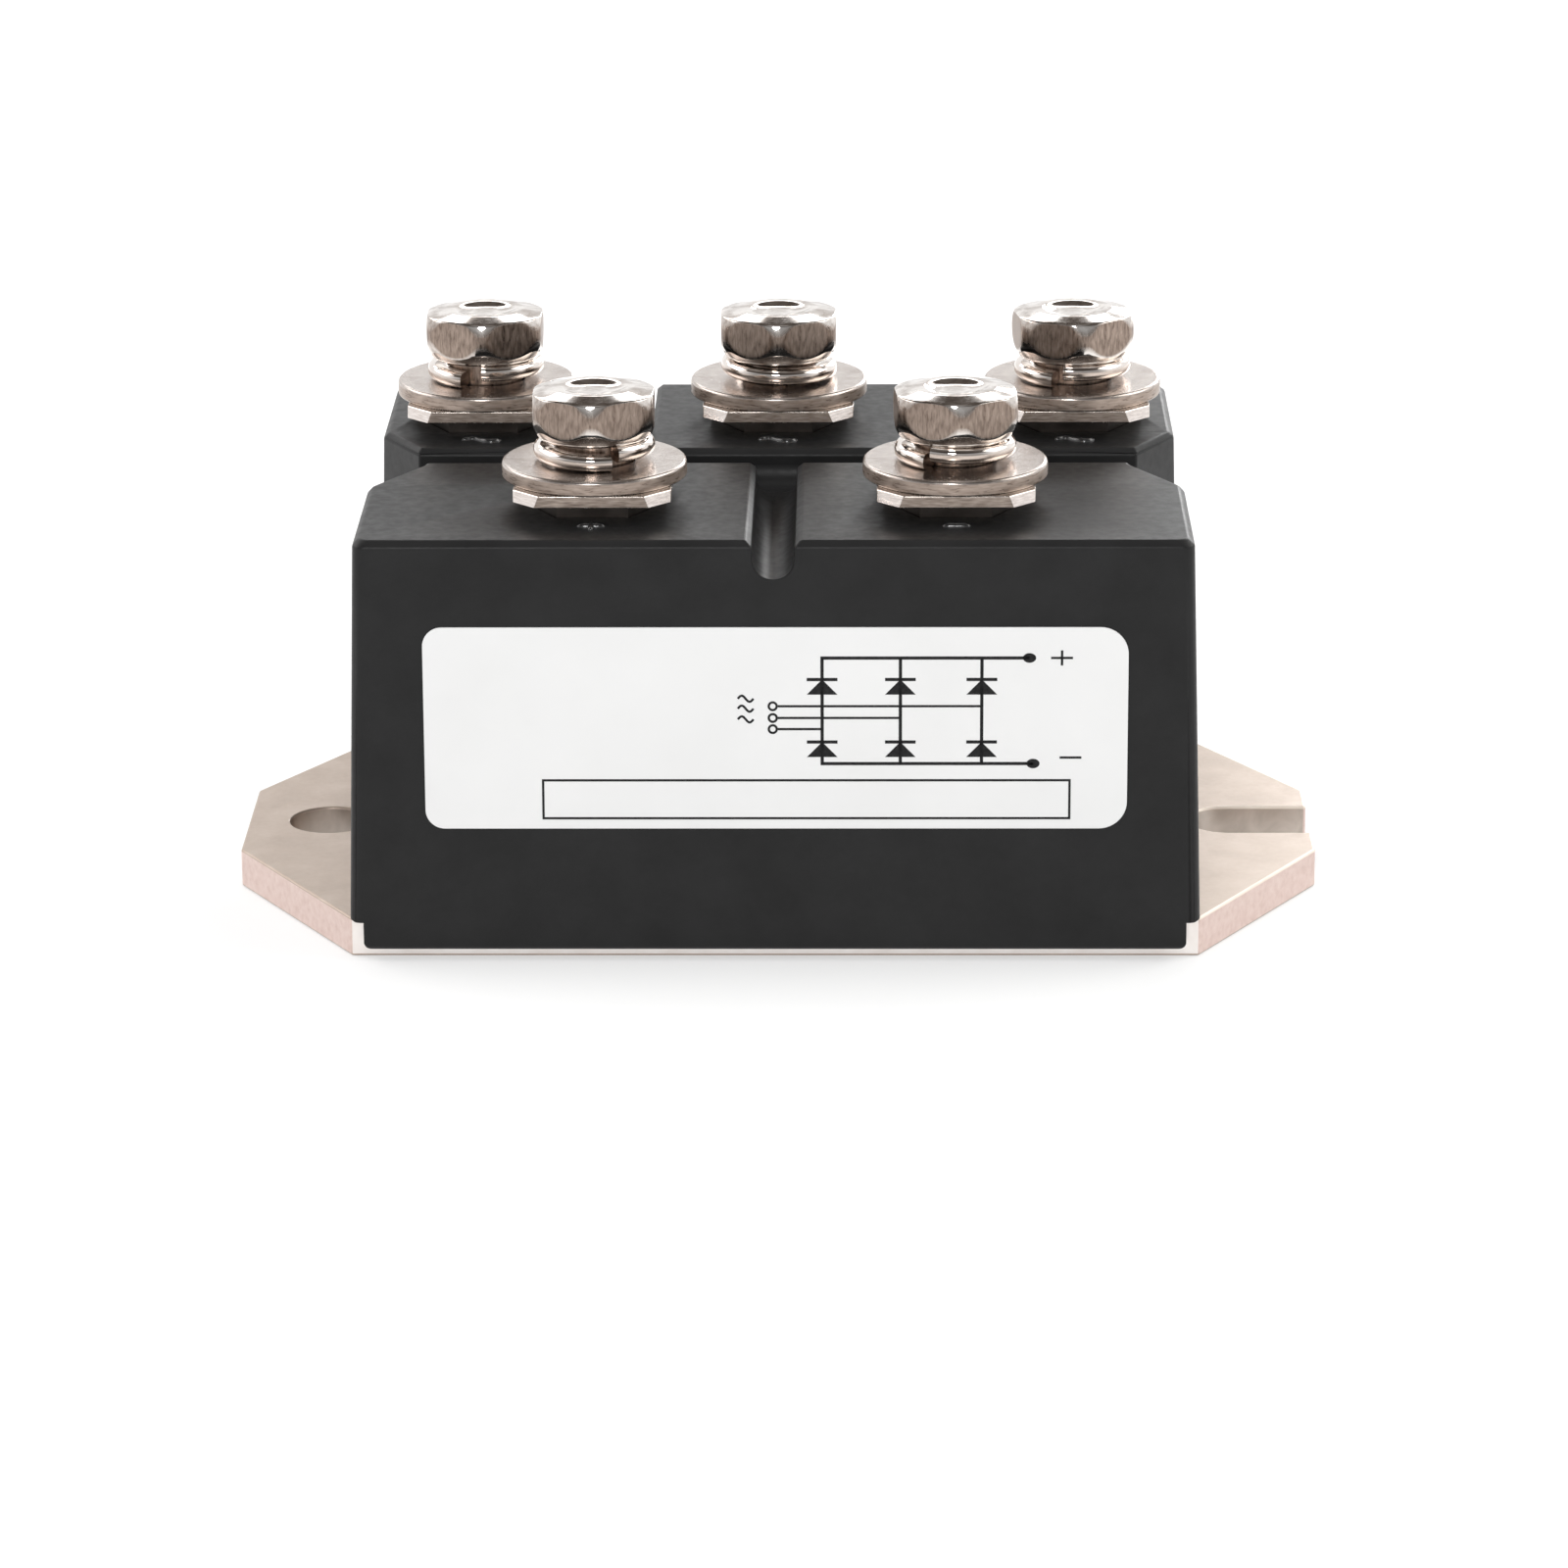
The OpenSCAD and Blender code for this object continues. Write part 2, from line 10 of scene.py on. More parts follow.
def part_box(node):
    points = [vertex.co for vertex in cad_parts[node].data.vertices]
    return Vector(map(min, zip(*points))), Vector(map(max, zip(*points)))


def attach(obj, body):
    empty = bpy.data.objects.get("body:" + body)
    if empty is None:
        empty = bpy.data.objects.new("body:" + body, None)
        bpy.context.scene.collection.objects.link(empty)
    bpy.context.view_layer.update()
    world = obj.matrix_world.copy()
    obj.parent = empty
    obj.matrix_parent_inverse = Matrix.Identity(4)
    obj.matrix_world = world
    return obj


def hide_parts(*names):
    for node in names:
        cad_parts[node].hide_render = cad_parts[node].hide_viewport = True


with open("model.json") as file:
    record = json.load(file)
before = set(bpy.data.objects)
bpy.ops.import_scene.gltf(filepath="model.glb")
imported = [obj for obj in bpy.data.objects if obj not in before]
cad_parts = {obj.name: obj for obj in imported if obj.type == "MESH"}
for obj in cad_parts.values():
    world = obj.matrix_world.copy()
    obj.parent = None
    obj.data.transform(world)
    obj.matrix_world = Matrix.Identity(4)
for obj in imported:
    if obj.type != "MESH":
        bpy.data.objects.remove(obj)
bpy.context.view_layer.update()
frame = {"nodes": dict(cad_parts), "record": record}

MM = 0.001
WHITE = (1, 1, 1)


# Node trees

# Where a mix node has its two inputs and its result, for each kind of value
MIX_SOCKETS = {"RGBA": (6, 7, 2), "FLOAT": (2, 3, 0)}


def put(tree, value, socket):
    """Links an output to an input, or sets the input to a plain value."""
    if isinstance(value, bpy.types.NodeSocket):
        tree.links.new(value, socket)
    else:
        socket.default_value = value


def calculation(tree, operation, *values):
    """The result of a maths node."""
    node = tree.nodes.new("ShaderNodeMath")
    node.operation = operation
    for value, socket in zip(values, node.inputs):
        put(tree, value, socket)
    return node.outputs[0]


def carried_over(tree, value, start, end, low, high):
    """A value carried over from the range start to end to the range low to high."""
    node = tree.nodes.new("ShaderNodeMapRange")
    for name, limit in (("From Min", start), ("From Max", end), ("To Min", low), ("To Max", high)):
        node.inputs[name].default_value = limit
    put(tree, value, node.inputs["Value"])
    return node.outputs["Result"]


def ramp(tree, factor, stops):
    """Colour along a list of (position, (r, g, b)) stops."""
    node = tree.nodes.new("ShaderNodeValToRGB")
    elements = node.color_ramp.elements
    while len(elements) < len(stops):
        elements.new(0.5)
    for element, (position, rgb) in zip(elements, stops):
        element.position = position
        element.color = (*rgb, 1)
    put(tree, factor, node.inputs["Fac"])
    return node.outputs["Color"]


def mixed(tree, mask, off, on, kind="RGBA"):
    """Goes from one colour or value to another with a mask."""
    node = tree.nodes.new("ShaderNodeMix")
    node.data_type = kind
    first, second, result = MIX_SOCKETS[kind]
    for value, place in ((mask, 0), (off, first), (on, second)):
        put(tree, value, node.inputs[place])
    return node.outputs[result]


# Materials

# Where the values of most noise, and of strong streaks, begin and end
NOISE_SPAN = (0.3, 0.7)
STREAK_SPAN = (0.25, 0.75)


class Surface:
    """A procedural material: one Principled shader fed by textures in the part's own space."""

    def __init__(self, name, **constants):
        self.material = bpy.data.materials.new(name)
        self.material.use_nodes = True
        self.tree = self.material.node_tree
        self.shader = self.tree.nodes["Principled BSDF"]
        own = self.tree.nodes.new("ShaderNodeTexCoord").outputs
        self.place, self.facing = own["Object"], own["Normal"]
        self.normal = None
        for socket, value in constants.items():
            self.shader.inputs[socket.replace("_", " ")].default_value = value

    def feed(self, socket, value):
        """Links a texture to one of the shader's sockets."""
        self.tree.links.new(value, self.shader.inputs[socket])

    def noise(self, grain, stretch=(1, 1, 1), detail=2.0, distortion=0.0):
        """Noise with blobs about grain millimetres across, drawn out by stretch along each axis."""
        mapping = self.tree.nodes.new("ShaderNodeMapping")
        mapping.inputs["Scale"].default_value = [1 / (grain * MM * s) for s in stretch]
        put(self.tree, self.place, mapping.inputs["Vector"])
        noise = self.tree.nodes.new("ShaderNodeTexNoise")
        for name, value in (("Scale", 1.0), ("Detail", detail), ("Distortion", distortion)):
            noise.inputs[name].default_value = value
        put(self.tree, mapping.outputs["Vector"], noise.inputs["Vector"])
        return noise.outputs["Fac"]

    def shade(self, factor, dark, light, span=NOISE_SPAN):
        """A colour that goes from dark to light over a texture's span."""
        return ramp(self.tree, factor, list(zip(span, (dark, light))))

    def spread(self, factor, low, high):
        """A value that goes from low to high over a noise."""
        return carried_over(self.tree, factor, *NOISE_SPAN, low, high)

    def tint(self, factor, dark, light, span=NOISE_SPAN):
        """Sets the colour from a texture."""
        self.feed("Base Color", self.shade(factor, dark, light, span))

    def roughen(self, factor, low, high):
        """Sets the roughness from a noise."""
        self.feed("Roughness", self.spread(factor, low, high))

    def walls(self, steepest=0.10, least=0.28):
        """1 on upright faces and 0 on those that lean or lie, by the face's own direction."""
        parts = self.tree.nodes.new("ShaderNodeSeparateXYZ")
        put(self.tree, self.facing, parts.inputs["Vector"])
        rise = calculation(self.tree, "ABSOLUTE", parts.outputs["Z"])
        return carried_over(self.tree, rise, steepest, least, 1, 0)

    def bump(self, factor, depth, strength):
        """Lays a relief of depth millimetres over those already there."""
        bump = self.tree.nodes.new("ShaderNodeBump")
        bump.inputs["Strength"].default_value = strength
        bump.inputs["Distance"].default_value = depth * MM
        put(self.tree, factor, bump.inputs["Height"])
        if self.normal:
            put(self.tree, self.normal, bump.inputs["Normal"])
        self.normal = bump.outputs["Normal"]
        self.feed("Normal", self.normal)


def moulded_black(name, shine, rough):
    """Black glass-filled polyester with a fine moulded grain."""
    s = Surface(name, Specular_IOR_Level=shine)
    s.tint(s.noise(grain=4.0, detail=4), (0.0135, 0.0135, 0.0138), (0.019, 0.019, 0.0195))
    s.roughen(s.noise(grain=0.6, detail=3), *rough)
    s.bump(s.noise(grain=0.12), depth=0.010, strength=0.5)
    s.bump(s.noise(grain=1.4), depth=0.020, strength=0.25)
    return s.material


def plate_nickel():
    """Dull nickel on copper, with blotches on its faces and specks on its cut sides."""
    s = Surface("plate_nickel_satin", Metallic=0.45)
    face = ramp(s.tree, s.noise(grain=3.0, detail=5, distortion=0.4), [
        (0.3, (0.435, 0.345, 0.28)),
        (0.5, (0.475, 0.38, 0.31)),
        (0.7, (0.515, 0.42, 0.35)),
    ])
    cut = ramp(s.tree, s.noise(grain=0.5, detail=6), [
        (0.3, (0.70, 0.53, 0.475)),
        (0.5, (0.76, 0.595, 0.54)),
        (0.7, (0.80, 0.645, 0.59)),
    ])
    s.feed("Base Color", mixed(s.tree, s.walls(), face, cut))
    s.roughen(s.noise(grain=0.35, detail=4), 0.30, 0.40)
    s.bump(s.noise(grain=0.10, detail=3), depth=0.004, strength=0.5)
    s.bump(s.noise(grain=0.9, detail=3), depth=0.010, strength=0.3)
    return s.material


def label_film():
    """White film, very slightly uneven where it was rubbed down."""
    s = Surface("label_film_white")
    s.tint(s.noise(grain=6.0, detail=3), (0.88, 0.88, 0.876), (0.91, 0.91, 0.907))
    s.roughen(s.noise(grain=1.5, detail=3), 0.32, 0.42)
    s.bump(s.noise(grain=3.0), depth=0.012, strength=0.3)
    return s.material


def label_ink():
    """Black print, slightly uneven as screen ink is."""
    s = Surface("label_ink_black", Specular_IOR_Level=0.2)
    dark, light = (0.006, 0.006, 0.0065), (0.022, 0.022, 0.023)
    s.tint(s.noise(grain=0.25, detail=4), dark, light, span=(0.3, 0.75))
    s.roughen(s.noise(grain=0.3), 0.40, 0.55)
    return s.material


def bright_nickel(name, dark, light, rough, grain=0.5, metal=1.0):
    """Warm plated metal: faint clouds of tint, small tumbling marks."""
    s = Surface(name, Metallic=metal)
    s.tint(s.noise(grain * 4, detail=4, distortion=0.6), dark, light)
    s.roughen(s.noise(grain, detail=4), *rough)
    s.bump(s.noise(grain * 0.4, detail=3), depth=0.004, strength=0.5)
    return s.material


def walled_nickel(
    name, face, wall_painted_darker, rough_face, rough_wall, stretch,
    lean=(0.10, 0.28), wall_metal=1.0, clouds=NOISE_SPAN,
):
    """Plated steel with polished edges and duller upright walls that keep their drawn streaks; the
    walls' darker colour is painted shade.
    """
    s = Surface(name, Metallic=1.0)
    cloud = s.noise(grain=1.2, detail=4, distortion=0.6)
    streak = s.noise(0.15, stretch, detail=5, distortion=0.5)
    mask = s.walls(*lean)
    polished = s.shade(cloud, *face, clouds)
    # Upright walls: their own drawn streaks, coloured darker as painted shade
    drawn = s.shade(streak, *wall_painted_darker, STREAK_SPAN)
    s.feed("Base Color", mixed(s.tree, mask, polished, drawn))
    fine = s.spread(s.noise(grain=0.35, detail=4), *rough_face)
    coarse = s.spread(streak, *rough_wall)
    s.feed("Roughness", mixed(s.tree, mask, fine, coarse, "FLOAT"))
    if wall_metal < 1:
        s.feed("Metallic", carried_over(s.tree, mask, 0, 1, 1, wall_metal))
    s.bump(calculation(s.tree, "MULTIPLY", streak, mask), depth=0.006, strength=0.5)
    return s.material


def brushed_nickel(name, dark, light, rough, metal=1.0):
    """Plated metal with level sheared streaks."""
    s = Surface(name, Metallic=metal)
    level = (7, 7, 1)
    streak = s.noise(0.12, level, detail=4)
    s.tint(streak, dark, light, STREAK_SPAN)
    s.roughen(s.noise(0.2, level, detail=3), *rough)
    s.bump(streak, depth=0.012, strength=0.6)
    return s.material


def dull_copper(name, dark, light):
    """Bare copper sheet with tarnish clouds and rolled grain."""
    s = Surface(name, Metallic=1.0)
    s.tint(s.noise(grain=1.2, detail=4), dark, light)
    s.roughen(s.noise(grain=0.3, stretch=(5, 1, 1), detail=3), 0.28, 0.45)
    s.bump(s.noise(grain=0.1, stretch=(8, 1, 1)), depth=0.005, strength=0.5)
    return s.material


def fired_ceramic():
    """Off-white alumina with a fine grain."""
    s = Surface("alumina_matt")
    s.tint(s.noise(grain=0.5, detail=4), (0.80, 0.79, 0.74), (0.88, 0.87, 0.82))
    s.roughen(s.noise(grain=0.2), 0.6, 0.75)
    s.bump(s.noise(grain=0.06), depth=0.004, strength=0.5)
    return s.material


def metallised_silicon():
    """Dark chip with a thin metal face."""
    s = Surface("silicon_metallised", Metallic=0.8)
    s.tint(s.noise(grain=0.8, detail=3), (0.10, 0.11, 0.12), (0.17, 0.18, 0.19))
    s.roughen(s.noise(grain=0.3), 0.25, 0.35)
    return s.material


def soft_gel():
    """Clear silicone gel, slightly cloudy."""
    s = Surface("gel_clear", Transmission_Weight=0.9, IOR=1.41)
    s.tint(s.noise(grain=3.0), (0.78, 0.82, 0.84), (0.84, 0.88, 0.90))
    s.roughen(s.noise(grain=2.0), 0.05, 0.12)
    return s.material


BLACK = moulded_black("moulded_black", shine=0.20, rough=(0.36, 0.46))
SIGN_BLACK = moulded_black("moulded_black_polished", shine=0.90, rough=(0.16, 0.24))
PLATE = plate_nickel()
FILM = label_film()
INK = label_ink()
SCREW_METAL = walled_nickel(
    "nickel_screw",
    face=((0.43, 0.37, 0.33), (0.90, 0.855, 0.815)),
    wall_painted_darker=((0.13, 0.095, 0.075), (0.44, 0.35, 0.295)),
    rough_face=(0.05, 0.09),
    rough_wall=(0.26, 0.42),
    stretch=(1, 1, 5),
    clouds=(0.32, 0.62),
)
# The spring's darker upright walls paint a shaded band along the middle of the wire
SPRING_METAL = walled_nickel(
    "nickel_spring",
    face=((0.80, 0.73, 0.68), (0.92, 0.87, 0.83)),
    wall_painted_darker=((0.33, 0.265, 0.225), (0.74, 0.64, 0.57)),
    rough_face=(0.05, 0.08),
    rough_wall=(0.16, 0.26),
    stretch=(8, 8, 1),
    lean=(0.06, 0.30),
)
WASHER_METAL = walled_nickel(
    "nickel_washer",
    face=((0.45, 0.395, 0.36), (0.56, 0.505, 0.47)),
    wall_painted_darker=((0.20, 0.15, 0.12), (0.50, 0.405, 0.345)),
    rough_face=(0.20, 0.28),
    rough_wall=(0.24, 0.38),
    stretch=(6, 6, 1),
    wall_metal=0.5,
)
PLATE_BORE = bright_nickel("plate_bore", (0.46, 0.40, 0.35), (0.66, 0.58, 0.52), (0.30, 0.42))
# Cream upper rim on the plate's right half: a painted highlight
PLATE_RIM_PAINTED_BRIGHT = bright_nickel("plate_rim_painted_highlight", (0.86, 0.75, 0.65), (0.94, 0.84, 0.74), (0.34, 0.44), metal=0.3)
# Pale long sides of the plate: painted light over the shadow under the skirts
PLATE_FOOT_PAINTED_LIGHT = bright_nickel("plate_foot_painted_light", (0.90, 0.84, 0.80), (0.97, 0.93, 0.90), (0.30, 0.42))
# Nuts coloured near black: painted shade for where they sit under the tabs
NUT_METAL_PAINTED_DARK = bright_nickel("nickel_nut_painted_shade", (0.07, 0.06, 0.053), (0.11, 0.095, 0.085), (0.30, 0.42))
TAB = bright_nickel("tab_plating", (0.56, 0.50, 0.45), (0.72, 0.66, 0.61), (0.16, 0.30), grain=0.4)
# Tabs' front edges: sheared streaks, coloured darker than the tab as painted shade
EDGES = brushed_nickel("nickel_edges_painted_shade", (0.17, 0.13, 0.105), (0.52, 0.43, 0.37), (0.32, 0.46), metal=0.5)
# Tabs' cut corners: coloured brighter than the tab as a painted highlight
FACETS_PAINTED_BRIGHT = brushed_nickel("nickel_facets_painted_highlight", (0.66, 0.58, 0.54), (0.92, 0.86, 0.82), (0.14, 0.24))

# Material of the CAD nodes, by their material slot; the nuts' near-black is painted shade
SLOT_MATERIAL = {
    "bonded_copper": dull_copper("copper_bonded", (0.58, 0.29, 0.17), (0.76, 0.42, 0.26)),
    "clip_copper": dull_copper("copper_clip", (0.62, 0.35, 0.22), (0.80, 0.49, 0.31)),
    "ceramic": fired_ceramic(),
    "silicon": metallised_silicon(),
    "gel": soft_gel(),
    "hardware_nickel": NUT_METAL_PAINTED_DARK,
    "terminal_plating": TAB,
    "housing_plastic": BLACK,
    "plate_nickel": PLATE,
    "label_film": FILM,
}


# Meshes: angles in degrees, lengths in millimetres

SHARP_FROM = 60
NORMAL_WEIGHT = 80
ROUNDED_FROM = 20
CORNER_R, CORNER_SEGMENTS = 0.4, 6
FLAT_WITHIN = 0.3
SAME_POINT, NO_EDGE = 0.001, 0.0001
NEAR = 0.01
MEETING_SOFT = 0.045


def piece(name, mesh, slot, *materials, node=None, at=None):
    """Adds a mesh to the part: it rides on the body, has a finish and may stand for a CAD node."""
    ob = bpy.data.objects.new(name, mesh)
    bpy.context.scene.collection.objects.link(ob)
    for material in materials:
        mesh.materials.append(material)
    if at:
        ob.matrix_world = at
    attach(ob, "root")
    if node:
        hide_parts(node)
    return ob


def smooth(ob):
    """Rounds the shading over the bevels and keeps it flat on the flats."""
    for polygon in ob.data.polygons:
        polygon.use_smooth = True
    ob.data.set_sharp_from_angle(angle=math.radians(SHARP_FROM))
    normals = ob.modifiers.new("normals", "WEIGHTED_NORMAL")
    normals.weight = NORMAL_WEIGHT
    normals.keep_sharp = True


def mesh_of(name, vertices, faces):
    """A mesh from points and faces, with all faces turned outwards."""
    mesh = bpy.data.meshes.new(name)
    mesh.from_pydata(vertices, [], faces)
    bm = bmesh.new()
    bm.from_mesh(mesh)
    bmesh.ops.recalc_face_normals(bm, faces=bm.faces)
    bm.to_mesh(mesh)
    bm.free()
    return mesh


def round_off(bm, width, segments, chosen):
    """Rounds a mesh's sharp edges that are chosen by their two ends."""
    sharp = [
        e for e in bm.edges
        if len(e.link_faces) == 2
        and e.calc_face_angle(0) > math.radians(ROUNDED_FROM)
        and chosen(e.verts[0].co / MM, e.verts[1].co / MM)
    ]
    bmesh.ops.bevel(
        bm, geom=sharp, offset=width * MM, offset_type="OFFSET", segments=segments,
        profile=0.5, affect="EDGES", clamp_overlap=False, miter_outer="ARC", loop_slide=True,
    )


def softened(node, name, width, segments, chosen=lambda a, b: True, corners=None):
    """A copy of a CAD node's mesh with the chosen sharp edges rounded, and its corners first."""
    bm = bmesh.new()
    bm.from_mesh(frame["nodes"][node].data)
    bmesh.ops.remove_doubles(bm, verts=bm.verts, dist=SAME_POINT * MM)
    bmesh.ops.dissolve_limit(bm, angle_limit=math.radians(FLAT_WITHIN), verts=bm.verts, edges=bm.edges)
    if corners:
        round_off(bm, CORNER_R, CORNER_SEGMENTS, corners)
    round_off(bm, width, segments, chosen)
    bmesh.ops.dissolve_degenerate(bm, dist=NO_EDGE * MM, edges=bm.edges)
    bmesh.ops.recalc_face_normals(bm, faces=bm.faces)
    mesh = bpy.data.meshes.new(name)
    bm.to_mesh(mesh)
    bm.free()
    return mesh


def soft_least(a, b, width=MEETING_SOFT):
    """The smaller of two radii, rounded over where they meet."""
    low, gap = min(a, b), abs(a - b)
    return low - width * math.log1p(math.exp(-gap / width))


def lathe(profile, segments, reach=None):
    """Vertices and faces of a closed turned form; reach(angle) may cut it by a prism."""
    vertices, faces = [], []
    ends = [profile[0][0] == 0, profile[-1][0] == 0]
    rings = profile[ends[0]:len(profile) - ends[1]]
    for r, z in rings:
        for i in range(segments):
            a = 2 * math.pi * i / segments
            rr = r if reach is None else soft_least(r, reach(a))
            vertices.append((rr * math.cos(a) * MM, rr * math.sin(a) * MM, z * MM))
    rows = len(rings) - 1 if any(ends) else len(rings)
    for k in range(rows):
        low, high = k * segments, (k + 1) % len(rings) * segments
        for i in range(segments):
            j = (i + 1) % segments
            faces.append((low + i, low + j, high + j, high + i))
    last = (len(rings) - 1) * segments
    for closed, first, (_, z) in ((ends[0], 0, profile[0]), (ends[1], last, profile[-1])):
        if closed:
            tip = len(vertices)
            vertices.append((0, 0, z * MM))
            faces += [(first + i, first + (i + 1) % segments, tip) for i in range(segments)]
    return vertices, faces


def swept(n, steps):
    """Faces of a closed tube through steps + 1 sections of n points each."""
    faces = []
    for i in range(steps):
        for k in range(n):
            m = (k + 1) % n
            faces.append((i * n + k, i * n + m, (i + 1) * n + m, (i + 1) * n + k))
    faces.append(tuple(range(n)))
    faces.append(tuple(steps * n + k for k in range(n)))
    return faces


def arc(cx, cz, radius, start, end, steps):
    """Points on a part of a circle in a profile, angles from the +r axis."""
    turn = [math.radians(start + (end - start) * i / steps) for i in range(steps + 1)]
    return [(cx + radius * math.cos(a), cz + radius * math.sin(a)) for a in turn]


def along_at(points, i):
    """Direction of a line of points at one of them."""
    last = len(points) - 1
    return (points[min(i + 1, last)] - points[max(i - 1, 0)]).normalized()


def mm_box(node):
    """A node's box in millimetres."""
    return [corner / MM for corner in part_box(node)]


# Terminals, and sizes read off the frame in millimetres

TERMINALS = [
    "phase_terminal_1", "phase_terminal_2", "phase_terminal_3", "plus_terminal", "minus_terminal",
]
TAGS = [name.replace("_terminal", "") for name in TERMINALS]
MOUNTS = frame["record"]["mounts"]
SCREWS = [Vector(m["pos_m"]) / MM for m in MOUNTS if m["name"].endswith("_connection")]
ROW_X = max(s.x for s in SCREWS) - min(s.x for s in SCREWS)
TAB_TOP = SCREWS[0].z
PAD_Z = mm_box("housing")[1].z
PLATE_END = mm_box("base_plate")[1].x
SPRING_Z, HEAD_Z = (corner.z for corner in mm_box("spring_washers"))
SCREW_END, HEAD_TOP = (corner.z for corner in mm_box("terminal_screws"))
WASHER_LOW, WASHER_HIGH = mm_box("flat_washers")
WASHER_D = WASHER_HIGH.x - WASHER_LOW.x - ROW_X


# Housing

HOUSING_SOFT = 0.13
# The cavity, the room of a tab about its screw, and the skirts, as the CAD has them
RECESS_SLOPE = math.tan(math.radians(30))
INNER_RECESS_X, INNER_RECESS_Y = 21.6, 2.04
INNER_MARGIN = 0.6
INNER_X, INNER_Y = 24.8, 18.5
INNER_FOOT, ROOF_Z = 0.8, 25.0
SEAT_HALF, SEAT_FRONT, SEAT_BACK = 5.0, -5.2, 7.0
SKIRT_TOP, SKIRT_Y = 2.6, 21.0
SKIRT_FOOT, SKIRT_X, SKIRT_IN = 0.7, 26.61, 20.0


def on_the_outside(p):
    """True where a point of the housing shows, so not in its cavity or under a tab."""
    if abs(p.z - SKIRT_TOP) < NEAR and abs(p.y) > SKIRT_Y:
        return False
    inner_x = min(INNER_X, INNER_RECESS_X + max(0, abs(p.y) - INNER_RECESS_Y) * RECESS_SLOPE)
    if INNER_FOOT < p.z < ROOF_Z:
        if abs(p.x) < inner_x + INNER_MARGIN and abs(p.y) < INNER_Y + INNER_MARGIN:
            return False
    for s in SCREWS:
        if abs(p.x - s.x) < SEAT_HALF and SEAT_FRONT < p.y - s.y < SEAT_BACK:
            return False
    return True


def at_the_skirt_corner(p):
    """True at the lower corners of the front and back skirts."""
    at_the_end = abs(abs(p.x) - SKIRT_X) < NEAR and abs(p.y) > SKIRT_IN
    return at_the_end and abs(p.z - SKIRT_FOOT) < NEAR


housing_mesh = softened(
    "housing", "housing_shell", HOUSING_SOFT, segments=3,
    chosen=lambda a, b: on_the_outside(a) and on_the_outside(b),
    corners=lambda a, b: at_the_skirt_corner(a) and at_the_skirt_corner(b),
)
smooth(piece("housing_shell", housing_mesh, "housing_plastic", BLACK, node="housing"))


# Base plate

PLATE_SOFT = 0.16
BORE_X, BORE_R = 30.5, 2.75
END_MARGIN = 0.2
PLAIN, IN_BORE, ON_LONG_SIDE_PAINTED_LIGHT, ON_RIM_PAINTED_BRIGHT = range(4)
UPRIGHT, LEVEL, SQUARE_ON = 0.1, 0.99, 0.97


def plate_material_at(at, normal):
    """Number of the plate's material at a face: bore or slot, long side painted light, right upper rim
    painted as a highlight, or the rest.
    """
    # Upper edges of the right half take the cream rim: a painted highlight
    if UPRIGHT < normal.z < LEVEL and at.x > 0:
        return ON_RIM_PAINTED_BRIGHT
    if abs(normal.z) > UPRIGHT:
        return PLAIN
    if abs(at.y) < BORE_R + NEAR and BORE_X - BORE_R - NEAR < abs(at.x) < PLATE_END - END_MARGIN:
        return IN_BORE
    # Long sides take the pale colour: painted light over the skirts' shadow
    return ON_LONG_SIDE_PAINTED_LIGHT if abs(normal.y) > SQUARE_ON else PLAIN


plate_mesh = softened("base_plate", "base_plate_satin", PLATE_SOFT, segments=3)
plate = piece(
    "base_plate_satin", plate_mesh, "plate_nickel", PLATE, PLATE_BORE, PLATE_FOOT_PAINTED_LIGHT, PLATE_RIM_PAINTED_BRIGHT,
    node="base_plate",
)
for polygon in plate_mesh.polygons:
    polygon.material_index = plate_material_at(polygon.center / MM, polygon.normal)
smooth(plate)


# Terminals

TERMINAL_SOFT = 0.07
TAB_T = 0.8
FACET_LEAN, FACET_REACH, FACET_ROOM, FACET_AREA = 0.24, 0.12, 2, 0.3
SLANT, FACET_TILT = 0.3, 0.05
ON_EDGE_PAINTED_DARK, ON_FACET_PAINTED_BRIGHT = 1, 2


def at_a_cut_corner(normal):
    """True for a face that looks out of a tab's cut front corner."""
    return normal.y < -SLANT and abs(normal.x) > SLANT


def lean_facets(mesh):
    """Leans the cut front corners of a tab back towards their upper edge, as punching leaves them."""
    facets = [
        (polygon.center / MM, polygon.normal.copy()) for polygon in mesh.polygons
        if at_a_cut_corner(polygon.normal)
        and abs(polygon.normal.z) < FACET_TILT
        and polygon.area > FACET_AREA * MM * MM
    ]
    for vertex in mesh.vertices:
        at = vertex.co / MM
        for middle, out in facets:
            away = at - middle
            if abs(away.dot(out)) < FACET_REACH and away.length < FACET_ROOM:
                back = FACET_LEAN * (at.z - TAB_TOP + TAB_T) / TAB_T * MM
                if away.y < 0:
                    vertex.co.x -= back / out.x
                else:
                    vertex.co.y -= back / out.y


def terminal_material_at(normal):
    """Number of a terminal's material at a face: front edge with painted shade, cut corner with a
    painted highlight, or the rest.
    """
    if normal.y < -SQUARE_ON:
        return ON_EDGE_PAINTED_DARK
    return ON_FACET_PAINTED_BRIGHT if at_a_cut_corner(normal) and normal.z > -SLANT else PLAIN


for node in TERMINALS:
    name = node + "_plated"
    mesh = softened(node, name, TERMINAL_SOFT, segments=2)
    lean_facets(mesh)
    terminal = piece(name, mesh, "terminal_plating", TAB, EDGES, FACETS_PAINTED_BRIGHT, node=node)
    for polygon in mesh.polygons:
        polygon.material_index = terminal_material_at(polygon.normal)
    smooth(terminal)


# Screws

SCREW_D, HEX_AF, HEX_SOFT = 5.0, 7.82, 0.03
HEAD_SEGMENTS = 180
CORNER_RISE, CORNER_ROUND, CORNER_SHIFT = 0.35, 2.9, 0.2
TOP_INSET, HEAD_BEVEL, HEAD_SOFT = 1.3, 0.25, 0.09
FINE_STEP, FINE_STEPS, COARSE_STEPS = 0.012, 40, 22
DISH_R, DISH_DEPTH = 2.0, 0.27
